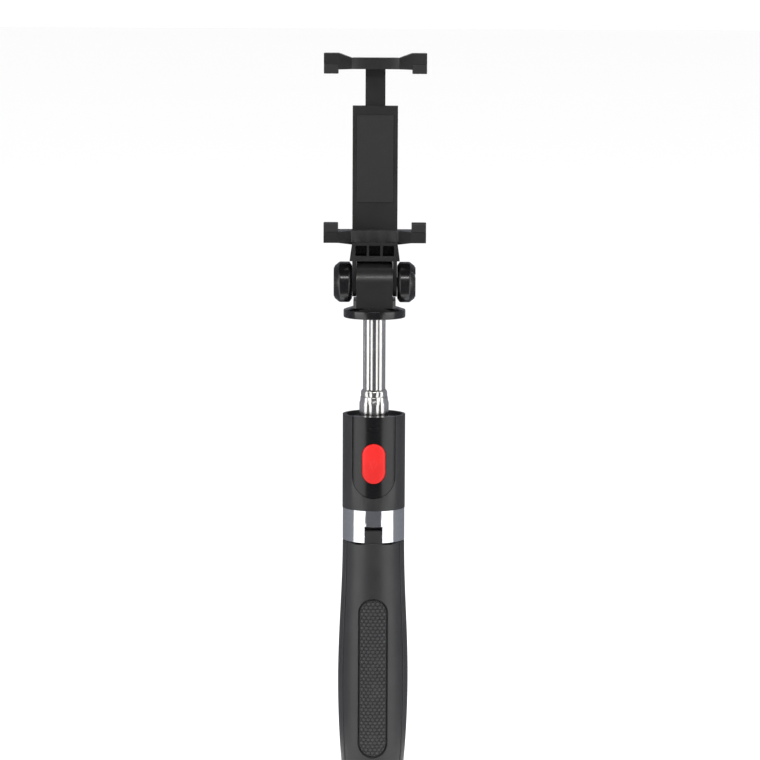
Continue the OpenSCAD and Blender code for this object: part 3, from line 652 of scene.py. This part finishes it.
def fluted_tube(rows, bore, steps=256):
    """A tube from rows of (radius, height, flute share) up its outside and down a plain bore. The flutes
    are narrow grooves between round lobes: depth times (1 - |cos(n/2 angle)|) to the power 1.6."""
    count, depth = sizes().flute_count, sizes().flute / MM
    angle = np.linspace(0.0, 2 * np.pi, steps, endpoint=False)[None]
    radius, height, share = (np.array(column)[:, None] for column in zip(*rows))
    groove = (1 - np.abs(np.cos(angle * count / 2))) ** 1.6
    outer = radius - share * depth * groove
    inner_r, inner_z = (np.array(column)[:, None] for column in zip(*bore))
    inner = np.broadcast_to(inner_r, (len(bore), steps))
    all_r = np.concatenate([outer, inner])
    all_z = np.concatenate([np.broadcast_to(height, outer.shape), np.broadcast_to(inner_z, inner.shape)])
    return net(np.stack([all_r * np.cos(angle), all_r * np.sin(angle), all_z], -1), along=True)


def tube_rows(radius, bottom, top, share, mouth):
    """Rows up a tube: plain where its bush sits, then fluted, then its mouth, whose points are each a drop
    below the top, a step in from the radius and a flute share."""
    foot = [(radius, bottom, 0), (radius, bottom + BUSH_H, 0), (radius, bottom + BUSH_H + 1, share)]
    return foot + [(radius - inward, top - drop, part) for drop, inward, part in mouth]


def outer_tube():
    """Thick tube: fluted body, shoulder rolled in over the middle tube, short neck."""
    low, high = box_mm("outer_tube")
    r, bottom, top = high[0], low[2], high[2]
    shoulder = (
        (4.0, 0.0, 1), (3.2, 0.0, 0.9), (2.7, 0.03, 0.75), (2.2, 0.14, 0.6), (1.7, 0.3, 0.6),
        (1.2, 0.42, 0.7), (0.3, 0.44, 0.7), (0.08, 0.5, 0.7), (0.0, 0.58, 0.65),
    )
    neck, bore = r - 0.62, r - TUBE_WALL
    rows = tube_rows(r, bottom, top, 1, shoulder)
    return fluted_tube(rows, [(neck, top), (neck, top - 5), (bore, top - 5.5), (bore, bottom)])


def middle_tube():
    """Middle tube: fluted body with a swollen lip that is crimped in over the thin tube."""
    low, high = box_mm("middle_tube")
    rise = 0.125
    r, bottom, top = high[0] - rise, low[2], high[2]
    lip = (
        (3.3, 0.0, 0.8), (3.0, -0.08, 0.8), (2.6, -rise, 0.8), (1.3, -rise, 0.8), (0.7, -0.02, 0.75),
        (0.25, 0.2, 0.7), (0.0, 0.45, 0.6),
    )
    neck, bore = r - 0.69, r - TUBE_WALL
    rows = tube_rows(r, bottom, top, 0.8, lip)
    return fluted_tube(rows, [(neck, top), (neck, top - 5), (bore, top - 5.3), (bore, bottom)])


def inner_tube():
    """Thin tube: fluted all the way up into the pole cap."""
    low, high = box_mm("inner_tube")
    r, bottom, top = high[0], low[2], high[2]
    socket = ((3.2, 0.0, 0.9), (2.9, 0.0, 0), (0.0, 0.0, 0))
    bore = r - THIN_WALL
    return fluted_tube(tube_rows(r, bottom, top, 0.9, socket), [(bore, top), (bore, bottom)])


def pole_cap():
    """Flange with a rolled rim and a cone shoulder, hollow underneath where the tube goes in."""
    clear_of_housing = 0.12
    r, low, high = CAP_HIGH[0], CAP_LOW[2] + clear_of_housing, CAP_HIGH[2]
    rim, bore, shoulder = low + 3.7, 5.03, high - 1.0
    outline = filleted(
        [
            (bore, low), (r, low), (r, rim - 0.2), (r - 0.55, rim), (10.2, shoulder), (9.3, shoulder),
            (bore, low + 3.0),
        ],
        [0.1, 0.7, 0.5, 0.3, 0.3, 0.1, 0.1],
    )
    return turned(outline, 192)


# ---------------------------------------------------------------- tilt head


def knob(notched):
    """A knob along +X from its inner face at 0. The plain one has a shallow crowned face; the notched one
    has a dished face, a boss, and three gaps in its rim, each a window of the angle that lowers the rim."""
    r = (KNOB_HIGH[2] - KNOB_LOW[2]) / 2
    deep = KNOB_HIGH[0] - KNOB_LOW[0]
    wall = filleted([(2.0, 0), (r - 1.6, 0), (r, 1.2), (r, deep - 2.6), (r - 2.0, deep - 0.15)], 0.5, 6)[3:]
    crowned = [
        (r - 2.6, deep), (r - 3.2, deep), (r - 3.6, deep - 0.15), (3.0, deep - 0.3), (0.3, deep - 0.32),
    ]
    dished = [
        (r - 2.5, deep), (r - 3.0, deep - 0.15), (r - 3.3, deep - 1.5), (3.4, deep - 1.6),
        (3.0, deep - 1.45), (2.7, deep - 0.65), (2.3, deep - 0.5), (0.3, deep - 0.5),
    ]
    face = dished if notched else crowned
    wall = wall[wall[:, 0] > 2.0]
    profile = np.concatenate([[(2.05, 0.0)], wall, face])
    angle = np.linspace(0.0, 2 * np.pi, 240, endpoint=False)[None]
    radius = np.broadcast_to(profile[:, :1], (len(profile), 240))
    out = np.broadcast_to(profile[:, 1:], (len(profile), 240)).copy()
    if notched:
        gap = np.zeros_like(angle)
        for place in (60.0, 180.0, 300.0):
            away = np.abs((angle - math.radians(place) + np.pi) % (2 * np.pi) - np.pi) * r
            gap = np.maximum(gap, 1 - eased(away, 0.75, 1.15))
        on_rim = (radius > r - 3.25) & (out > deep - 2.7)
        floor = deep - 1.7
        out = np.where(on_rim, out - gap * np.maximum(out - floor, 0.0), out)
    across, up = radius * np.sin(angle), radius * np.cos(angle)
    return skin(np.stack([out, -across, up], -1))


def screw_head(radius, thick, cross):
    """A pan head facing +Y: a crowned disc whose middle is sunk along a cross."""
    angle = np.linspace(0.0, 2 * np.pi, 96, endpoint=False)[None]
    share = np.array([1.0, 1.0, 0.96, 0.85, 0.7, 0.55, 0.4, 0.25, 0.12, 0.02])[:, None]
    rise = np.array([0.0, 0.7, 0.92, 1.0, 1.0, 1.0, 1.0, 1.0, 1.0, 1.0])[:, None] * thick
    x, z = radius * share * np.cos(angle), radius * share * np.sin(angle)
    slot = 1 - eased(np.minimum(np.abs(x), np.abs(z)), 0.16, 0.3)
    reach = 1 - eased(np.hypot(x, z), cross, cross + 0.2)
    out = rise - 0.55 * thick * (slot * reach) * (share < 0.9)
    return skin(np.stack([x, out, -z], -1))


def coil(radius, wire, turns, low, high, hook=1.6):
    """A round wire carried along a helix whose ends straighten into short hooks on the coil's axis."""
    t = np.linspace(0.0, 1.0, turns * 30)
    angle = 2 * np.pi * turns * t
    inside = eased(np.minimum(t, 1 - t) * turns, 0.0, 0.6)
    at_low, at_high = 1 - eased(t * turns, 0.0, 0.8), 1 - eased((1 - t) * turns, 0.0, 0.8)
    height = low + (high - low) * t + 0.3 * hook * (at_high - at_low)
    path = np.stack([radius * inside * np.cos(angle), radius * inside * np.sin(angle), height], 1)
    ahead = np.gradient(path, axis=0)
    ahead /= np.linalg.norm(ahead, axis=1, keepdims=True)
    side = np.cross(ahead, np.array([0.0, 0.0, 1.0]) + 1e-3)
    side /= np.linalg.norm(side, axis=1, keepdims=True)
    other = np.cross(ahead, side)
    about = np.linspace(0.0, 2 * np.pi, 8, endpoint=False)[None, :, None]
    return skin(path[:, None] + wire * (side[:, None] * np.cos(about) + other[:, None] * np.sin(about)))


# ---------------------------------------------------------------- remote


def shutter_button():
    """The oval button: a slot outline whose front follows a cylinder a little prouder than the housing,
    with rolled edges and a raised ring in the middle."""
    half = BUTTON_HIGH[0]
    middle = (BUTTON_LOW[2] + BUTTON_HIGH[2]) / 2
    tall = (BUTTON_HIGH[2] - BUTTON_LOW[2]) / 2 - 0.7
    front_r, back_y = -BUTTON_LOW[1], -BUTTON_HIGH[1]
    height = (tall - 0.004) * np.linspace(-1.0, 1.0, 180)[:, None]
    wide = np.sqrt(np.maximum(half**2 - np.maximum(np.abs(height) - (tall - half), 0.0) ** 2, 1e-4))
    across = wide * np.sin(np.linspace(-np.pi / 2, np.pi / 2, 110))[None]
    slot_past = np.maximum(np.abs(height) - (tall - half), 0.0)
    inward = np.clip((half - np.hypot(across, slot_past)) / 0.9, 0.0, 1.0)
    rolled = np.sqrt(1 - (1 - inward) ** 2)
    away = np.hypot(across, height)
    mark = 0.14 * (1 - eased(np.abs(away - 1.65), 0.12, 0.3)) + 0.10 * (1 - eased(away, 0.35, 0.6))
    front = np.sqrt(front_r**2 - across**2) - 0.9 * (1 - rolled) - mark
    back = np.full_like(front, back_y + 0.1)
    both_across = np.concatenate([across, across[:, ::-1]], 1)
    depth = np.concatenate([front, back[:, ::-1]], 1)
    rows = np.broadcast_to(height + middle, depth.shape)
    return skin(np.stack([both_across, -depth, rows], -1))


def grip_bar(width, height, thick=0.42, rise=0.26):
    """A low bar across the remote, bent to the housing's curve, with its edges faded into the surface."""
    u = np.linspace(-1.0, 1.0, 40)[None]
    section = np.array([(-1.0, -0.5), (-0.6, 0.6), (-0.2, 1.0), (0.2, 1.0), (0.6, 0.6), (1.0, -0.5)])
    up = height + section[:, :1] * thick / 2
    fade = 1 - np.abs(u) ** 8
    out = HOUSING_R - 0.05 + rise * section[:, 1:] * fade
    across = np.broadcast_to(u * width / 2, out.shape)
    front = np.stack([across, -np.sqrt(out**2 - across**2), np.broadcast_to(up, out.shape)], -1)
    back = front.copy()
    back[..., 1] += 0.3
    return skin(np.concatenate([front, back[::-1]], 0).transpose(1, 0, 2)[:, ::-1])


# ---------------------------------------------------------------- operators


class StickOperator:
    """What every operator of the stick shares."""

    bl_options = {"REGISTER", "UNDO"}


class STICK_OT_finishes(StickOperator, bpy.types.Operator):
    """Make every finish and give it to the solids that keep their own shape"""

    bl_idname = "stick.finishes"
    bl_label = "Finishes"

    def execute(self, context):
        made = make_finishes()
        for entry in frame["record"]["subparts"]:
            solid = frame["nodes"][entry["node"]]
            solid.data.materials.clear()
            solid.data.materials.append(made[entry["material_slot"]])
        return {"FINISHED"}


class STICK_OT_legs(StickOperator, bpy.types.Operator):
    """Add the skins of the three legs with their tongues, grip pads and feet"""

    bl_idname = "stick.legs"
    bl_label = "Legs"

    def execute(self, context):
        shell, tongue, foot = leg_shell(), leg_tongue(), leg_foot()
        pad, worn = leg_pad()
        for side in SIDES:
            turn, body = LEG_TURN[side], "leg_" + side
            skins = [placed(part, turn=turn) for part in (shell, tongue)]
            solids = ["leg_shell_" + side, "leg_liner_" + side]
            piece("leg_skin_" + side, skins, body, "handle_plastic", solids)
            pads, solids = [placed(pad, turn=turn)], ["leg_pad_" + side]
            grip = piece("grip_pad_" + side, pads, body, "grip_rubber", solids, 60.0)
            grip.data.attributes.new("worn", "FLOAT", "POINT").data.foreach_set("value", worn)
            feet, solids = [placed(foot, turn=turn)], ["leg_foot_" + side]
            piece("rubber_foot_" + side, feet, body, "grip_rubber", solids)
        return {"FINISHED"}


class STICK_OT_housing(StickOperator, bpy.types.Operator):
    """Add the housing and the hinge ring with rolled edges"""

    bl_idname = "stick.housing"
    bl_label = "Housing and ring"

    def execute(self, context):
        edge = sizes().edge / MM
        rounded_copy("housing", "housing_shell", "handle", "handle_plastic", edge)
        rounded_copy("housing_top", "housing_cap", "handle", "dark_plastic", 0.15)
        rounded_copy("bright_ring", "hinge_ring", "handle", "chrome_ring", 0.22)
        rounded_copy("hinge_core", "hinge_hub", "handle", "dark_plastic", 0.12)
        return {"FINISHED"}


class STICK_OT_remote(StickOperator, bpy.types.Operator):
    """Add the remote's cover, its grip bars and the shutter button"""

    bl_idname = "stick.remote"
    bl_label = "Remote"

    def execute(self, context):
        rounded_copy("remote_case", "remote_cover", "remote", "remote_plastic", 0.34)
        top = HOUSING_HIGH[2]
        bars = [grip_bar(width, top - drop) for width, drop in ((1.8, 3.1), (4.0, 4.9), (7.0, 6.8))]
        piece("grip_bars", bars, "remote", "remote_plastic", (), 50.0)
        piece("red_button", [shutter_button()], "button", "button_red", ["shutter_button"], 40.0)
        return {"FINISHED"}


class STICK_OT_pole(StickOperator, bpy.types.Operator):
    """Add the three fluted tubes and the pole cap"""

    bl_idname = "stick.pole"
    bl_label = "Pole"

    def execute(self, context):
        piece("thick_tube", [outer_tube()], "outer_pole", "tube_steel", ["outer_tube"], 38.0)
        piece("mid_tube", [middle_tube()], "middle_pole", "tube_steel", ["middle_tube"], 38.0)
        piece("thin_tube", [inner_tube()], "inner_pole", "tube_steel", ["inner_tube"], 38.0)
        piece("flange_cap", [pole_cap()], "inner_pole", "gloss_black", ["pole_cap"], 40.0)
        return {"FINISHED"}


class STICK_OT_head(StickOperator, bpy.types.Operator):
    """Add the tilt block and both knobs"""

    bl_idname = "stick.head"
    bl_label = "Tilt head"

    def execute(self, context):
        rounded_copy("tilt_body", "tilt_block", "inner_pole", "head_plastic", 0.7)
        left_high = box_mm("left_knob")[1]
        places, faces = knob(False)
        mirrored = (places * np.array([-1.0, 1.0, 1.0]), [face[::-1] for face in faces])
        left = placed(mirrored, shift=(left_high[0], 0.0, TILT_Z))
        right = placed(knob(True), shift=(KNOB_LOW[0], 0.0, TILT_Z))
        piece("plain_knob", [left], "clamp", "gloss_black", ["left_knob"], 24.0)
        piece("turning_knob", [right], "tilt_knob", "gloss_black", ["right_knob"], 24.0)
        return {"FINISHED"}


class STICK_OT_clamp(StickOperator, bpy.types.Operator):
    """Add the clamp's jaws, tips, cover, screws and springs"""

    bl_idname = "stick.clamp"
    bl_label = "Phone clamp"

    def execute(self, context):
        edge = sizes().edge / MM
        rounded_copy("clamp_body", "clamp_frame", "clamp", "head_plastic", edge)
        rounded_copy("upper_jaw", "clamp_slider", "jaw", "head_plastic", edge)
        rounded_copy("channel_cover", "rear_cover", "clamp", "head_plastic", 0.2)
        rounded_copy("phone_strip", "back_pad", "clamp", "tip_rubber", 0.2)
        for side in ("left", "right"):
            rounded_copy("lower_grip_" + side, "lower_tip_" + side, "clamp", "tip_rubber", 0.35)
            rounded_copy("upper_grip_" + side, "upper_tip_" + side, "jaw", "tip_rubber", 0.35)
            low, high = box_mm("spring_" + side)
            middle = (low + high) / 2
            wound = coil(1.15, 0.3, 12, low[2] + 0.6, high[2] - 0.6)
            wound = placed(wound, shift=(middle[0], middle[1], 0.0))
            name = "return_coil_" + side
            spring = piece(name, [wound], None, "steel", ["spring_" + side], 60.0)
            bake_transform(spring)
        low, high = box_mm("cover_screws")
        radius, thick = (high[2] - low[2]) / 2, 0.6
        out = high[0] - radius
        head = screw_head(radius, thick, 1.1)
        heads = [placed(head, shift=(x, high[1] - thick, (low[2] + high[2]) / 2)) for x in (-out, out)]
        piece("cover_screw_heads", heads, "clamp", "steel", ["cover_screws"], 40.0)
        return {"FINISHED"}


# Name, place and size in metres, and power in watts
SOFTBOXES = (
    ("left_box", (-1.59, -0.85, 0.75), (1.6, 1.5), 13.0),
    ("right_box", (1.59, -0.85, 0.75), (1.6, 1.5), 13.0),
    ("top_box", (0.0, 0.3, 2.2), (1.6, 1.6), 5.0),
    ("front_strip", (0.0, -1.3, 1.0), (0.9, 0.14), 5.0),
)
# Name, first and last angle from the front in degrees, height in metres, and tone
SCREENS = (
    ("front_screen", -30.0, 30.0, 0.6, 0.06),
    ("left_screen", -180.0, -78.0, 1.1, 0.14),
    ("right_screen", 78.0, 180.0, 1.1, 0.14),
)
SCREEN_RADIUS = 0.9
SKY_STRENGTH = 1.12
# The lens in millimetres; the camera's place from the housing's top in metres; its angles in degrees
FOCAL_LENGTH = 150.2
CAMERA_RIGHT = 0.0026
CAMERA_AWAY = 1.4
CAMERA_ABOVE = 0.1869
CAMERA_PITCH = 7.0
CAMERA_ROLL = 0.27


def softbox(name, place, aim, size, power):
    """A rectangular light at a place, turned towards a point, that the camera doesn't see."""
    light = bpy.data.lights.new(name, "AREA")
    light.shape = "RECTANGLE"
    light.size, light.size_y = size
    light.energy = power
    lamp = bpy.data.objects.new(name, light)
    look_at(lamp, place, aim)
    lamp.visible_camera = False
    bpy.context.scene.collection.objects.link(lamp)


def look_at(thing, place, aim, roll=0.0):
    """Puts a lamp or camera at a place with its -Z axis towards a point."""
    back = np.array(place, float) - np.array(aim, float)
    turn = Vector(back.tolist()).to_track_quat("Z", "Y").to_matrix().to_4x4()
    thing.matrix_world = Matrix.Translation(place) @ turn @ Matrix.Rotation(roll, 4, "Z")


def dark_screen(name, start, stop, radius, high, tone):
    """A dark sheet that only reflections see: an arc of floor from near the stick out to a radius, then a
    wall that rises along the same arc. Angles are measured from the front."""
    angle = np.radians(np.linspace(start, stop, 24))[None]
    out = np.array([0.10, radius, radius])[:, None]
    up = np.array([0.002, 0.002, high])[:, None]
    points = np.stack(
        [out * np.sin(angle), -out * np.cos(angle), np.broadcast_to(up, (3, angle.shape[1]))], -1
    )
    places, faces = net(points, around=False)
    mesh = bpy.data.meshes.new(name)
    mesh.from_pydata(places.tolist(), [], faces)
    made = bpy.data.objects.new(name, mesh)
    bpy.context.scene.collection.objects.link(made)
    paint = Finish(name)
    shade = (0.94 * tone, 0.97 * tone, 1.1 * tone)
    mesh.materials.append(
        paint.finish(Base_Color=paint.mixed(paint.noise(12.0), shade, lighter(shade, 1.2)), Roughness=0.9)
    )
    made.visible_camera = False
    made.visible_diffuse = False
    made.visible_shadow = False


class STICK_OT_stage(StickOperator, bpy.types.Operator):
    """Add the pale floor, the soft lights and the camera"""

    bl_idname = "stick.stage"
    bl_label = "Stage"

    def execute(self, context):
        scene = context.scene
        reach = 30.0
        mesh = bpy.data.meshes.new("floor")
        corners = [(-reach, -reach, 0), (reach, -reach, 0), (reach, reach, 0), (-reach, reach, 0)]
        mesh.from_pydata(corners, [], [(0, 1, 2, 3)])
        floor = bpy.data.objects.new("floor", mesh)
        scene.collection.objects.link(floor)
        paint = Finish("floor_paint")
        soft = paint.noise(0.8)
        tone = tuple(colours().floor)
        mesh.materials.append(
            paint.finish(Base_Color=paint.mixed(soft, lighter(tone, 0.99), tone), Roughness=0.9)
        )
        middle = (0.0, 0.0, 0.2)
        for name, place, size, power in SOFTBOXES:
            softbox(name, place, middle, size, power)
        for name, start, stop, high, tone in SCREENS:
            dark_screen(name, start, stop, SCREEN_RADIUS, high, tone)
        world = bpy.data.worlds.new("studio")
        scene.world = world
        world.use_nodes = True
        sky = world.node_tree.nodes["Background"].inputs
        sky["Color"].default_value = (1.0, 1.0, 1.0, 1.0)
        sky["Strength"].default_value = SKY_STRENGTH
        world.cycles_visibility.glossy = False
        scene.view_settings.view_transform = "Standard"
        lens = bpy.data.cameras.new("camera")
        lens.sensor_width = 36.0
        lens.lens = FOCAL_LENGTH
        lens.clip_end = 100.0
        camera = bpy.data.objects.new("camera", lens)
        place = (CAMERA_RIGHT, -CAMERA_AWAY, HOUSING_HIGH[2] * MM + CAMERA_ABOVE)
        pitch = math.radians(CAMERA_PITCH)
        aim = (place[0], place[1] + math.cos(pitch), place[2] - math.sin(pitch))
        look_at(camera, place, aim, math.radians(CAMERA_ROLL))
        scene.collection.objects.link(camera)
        scene.camera = camera
        return {"FINISHED"}


BUILD_ORDER = (
    STICK_OT_finishes,
    STICK_OT_legs,
    STICK_OT_housing,
    STICK_OT_remote,
    STICK_OT_pole,
    STICK_OT_head,
    STICK_OT_clamp,
    STICK_OT_stage,
)


class STICK_PT_panel(bpy.types.Panel):
    """Lists the operators and settings of the stick."""

    bl_label = "Phone stick"
    bl_idname = "STICK_PT_panel"
    bl_space_type = "VIEW_3D"
    bl_region_type = "UI"
    bl_category = "Stick"

    def draw(self, context):
        column = self.layout.column(align=True)
        for operator in BUILD_ORDER:
            column.operator(operator.bl_idname)
        for group in (context.scene.stick_sizes, context.scene.stick_colours):
            box = self.layout.box()
            for key in type(group).__annotations__:
                box.prop(group, key)


CLASSES = (StickSizes, StickColours, *BUILD_ORDER, STICK_PT_panel)


def register():
    """Registers the classes and adds the settings to the scene."""
    for each in CLASSES:
        bpy.utils.register_class(each)
    bpy.types.Scene.stick_sizes = PointerProperty(type=StickSizes)
    bpy.types.Scene.stick_colours = PointerProperty(type=StickColours)


def unregister():
    """Takes the settings and classes away again."""
    del bpy.types.Scene.stick_colours
    del bpy.types.Scene.stick_sizes
    for each in reversed(CLASSES):
        bpy.utils.unregister_class(each)


def main():
    """Builds the whole stick."""
    register()
    bpy.ops.stick.finishes()
    bpy.ops.stick.legs()
    bpy.ops.stick.housing()
    bpy.ops.stick.remote()
    bpy.ops.stick.pole()
    bpy.ops.stick.head()
    bpy.ops.stick.clamp()
    bpy.ops.stick.stage()


if __name__ == "__main__":
    main()
